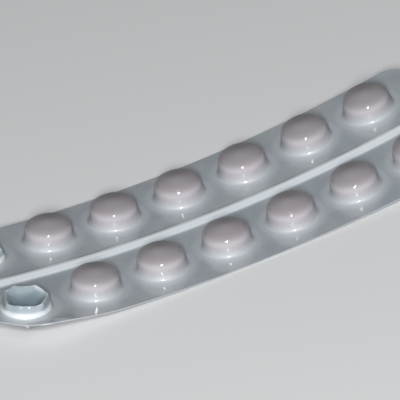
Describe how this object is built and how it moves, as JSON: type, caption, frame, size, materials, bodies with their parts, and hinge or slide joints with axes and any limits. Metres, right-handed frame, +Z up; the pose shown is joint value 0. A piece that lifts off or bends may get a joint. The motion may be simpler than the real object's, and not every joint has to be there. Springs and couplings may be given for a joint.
{
  "type": "tablet blister strip",
  "caption": "Curled push-through blister strip of round tablets in two rows beside a stiffening rib, with the pockets at one end pushed in and emptied.",
  "frame": {"origin": "underside of the lidding foil in the middle of the strip, the lowest point of its curl, where it rests", "axes": "+X along the strip from the emptied end to the full end, +Y across it from the front row to the back row, +Z up out of the pockets' roofs"},
  "size_m": [0.1118, 0.0422, 0.0076],
  "materials": {
    "film": "glossy opal thermoformed film",
    "foil": "smooth hard-rolled foil",
    "tablet": "pale pink film-coated tablet"
  },
  "bodies": {
    "root": {"blister_film": "film", "lidding_foil": "foil", "tablet_back_2": "tablet", "tablet_back_3": "tablet", "tablet_back_4": "tablet", "tablet_back_5": "tablet", "tablet_back_6": "tablet", "tablet_back_7": "tablet", "tablet_front_2": "tablet", "tablet_front_3": "tablet", "tablet_front_4": "tablet", "tablet_front_5": "tablet", "tablet_front_6": "tablet", "tablet_front_7": "tablet"}
  },
  "joints": []
}
